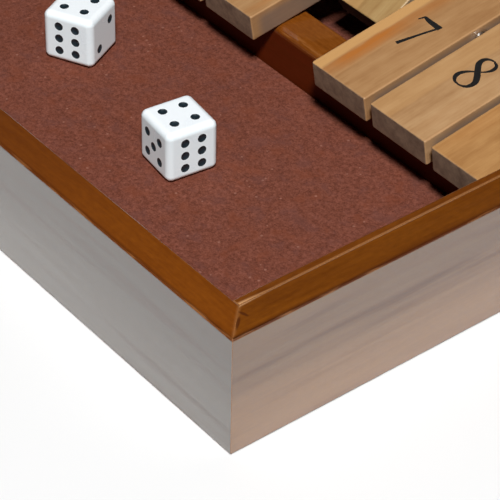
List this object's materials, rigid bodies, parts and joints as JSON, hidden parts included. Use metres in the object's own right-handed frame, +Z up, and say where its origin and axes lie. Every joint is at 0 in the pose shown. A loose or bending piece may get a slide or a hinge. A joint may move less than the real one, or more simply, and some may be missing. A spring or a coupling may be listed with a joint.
{
  "type": "shut the box game",
  "caption": "Single-player shut the box game: a mitred wooden tray with a felt floor, flip-over number tiles on a steel rod, a rest rail and two dice.",
  "frame": {"origin": "middle of the tray's underside, on the base panel", "axes": "+X to the player's right along the tile row, +Y away from the player, +Z up; the front wall faces -Y"},
  "size_m": [0.25, 0.1764, 0.0579],
  "materials": {
    "stained_wood": "walnut-brown stain under satin varnish",
    "tile_wood": "pale wood, clear satin varnish, numbers printed in black",
    "base_board": "bare board",
    "felt": "reddish-brown felt",
    "steel": "bright drawn steel",
    "dice_plastic": "white gloss, dark painted pips"
  },
  "bodies": {
    "tray": {"front_wall": "stained_wood", "back_wall": "stained_wood", "left_wall": "stained_wood", "right_wall": "stained_wood", "left_liner": "stained_wood", "right_liner": "stained_wood", "tile_rail": "stained_wood", "base_panel": "base_board", "play_felt": "felt", "rear_felt": "felt", "tile_rod": "steel", "tile_spacer_1": "steel", "tile_spacer_2": "steel", "tile_spacer_3": "steel", "tile_spacer_4": "steel", "tile_spacer_5": "steel", "tile_spacer_6": "steel", "tile_spacer_7": "steel", "tile_spacer_8": "steel", "left_end_spacer": "steel", "right_end_spacer": "steel"},
    "number_tile_1": {"tile_1": "tile_wood"},
    "number_tile_2": {"tile_2": "tile_wood"},
    "number_tile_3": {"tile_3": "tile_wood"},
    "number_tile_4": {"tile_4": "tile_wood"},
    "number_tile_5": {"tile_5": "tile_wood"},
    "number_tile_6": {"tile_6": "tile_wood"},
    "number_tile_7": {"tile_7": "tile_wood"},
    "number_tile_8": {"tile_8": "tile_wood"},
    "number_tile_9": {"tile_9": "tile_wood"},
    "first_die": {"die_1": "dice_plastic"},
    "second_die": {"die_2": "dice_plastic"}
  },
  "joints": [
    {"name": "tile_1_flip", "type": "hinge", "parent": "tray", "child": "number_tile_1", "pos_m": [-0.0992, 0.0561, 0.0319], "axis": [-1, 0, 0], "range_deg": [0, 156.9]},
    {"name": "tile_2_flip", "type": "hinge", "parent": "tray", "child": "number_tile_2", "pos_m": [-0.0744, 0.0561, 0.0319], "axis": [-1, 0, 0], "range_deg": [0, 156.9]},
    {"name": "tile_3_flip", "type": "hinge", "parent": "tray", "child": "number_tile_3", "pos_m": [-0.0496, 0.0561, 0.0319], "axis": [-1, 0, 0], "range_deg": [0, 156.9]},
    {"name": "tile_4_flip", "type": "hinge", "parent": "tray", "child": "number_tile_4", "pos_m": [-0.0248, 0.0561, 0.0319], "axis": [-1, 0, 0], "range_deg": [0, 156.9]},
    {"name": "tile_5_flip", "type": "hinge", "parent": "tray", "child": "number_tile_5", "pos_m": [0, 0.0561, 0.0319], "axis": [-1, 0, 0], "range_deg": [0, 156.9]},
    {"name": "tile_6_flip", "type": "hinge", "parent": "tray", "child": "number_tile_6", "pos_m": [0.0248, 0.0561, 0.0319], "axis": [-1, 0, 0], "range_deg": [-156.9, 0]},
    {"name": "tile_7_flip", "type": "hinge", "parent": "tray", "child": "number_tile_7", "pos_m": [0.0496, 0.0561, 0.0319], "axis": [-1, 0, 0], "range_deg": [0, 156.9]},
    {"name": "tile_8_flip", "type": "hinge", "parent": "tray", "child": "number_tile_8", "pos_m": [0.0744, 0.0561, 0.0319], "axis": [-1, 0, 0], "range_deg": [0, 156.9]},
    {"name": "tile_9_flip", "type": "hinge", "parent": "tray", "child": "number_tile_9", "pos_m": [0.0992, 0.0561, 0.0319], "axis": [-1, 0, 0], "range_deg": [0, 156.9]},
    {"name": "die_1_lift", "type": "slide", "parent": "tray", "child": "first_die", "axis": [0, 0, 1], "range_m": [0, 0.055]},
    {"name": "die_2_lift", "type": "slide", "parent": "tray", "child": "second_die", "axis": [0, 0, 1], "range_m": [0, 0.055]}
  ]
}
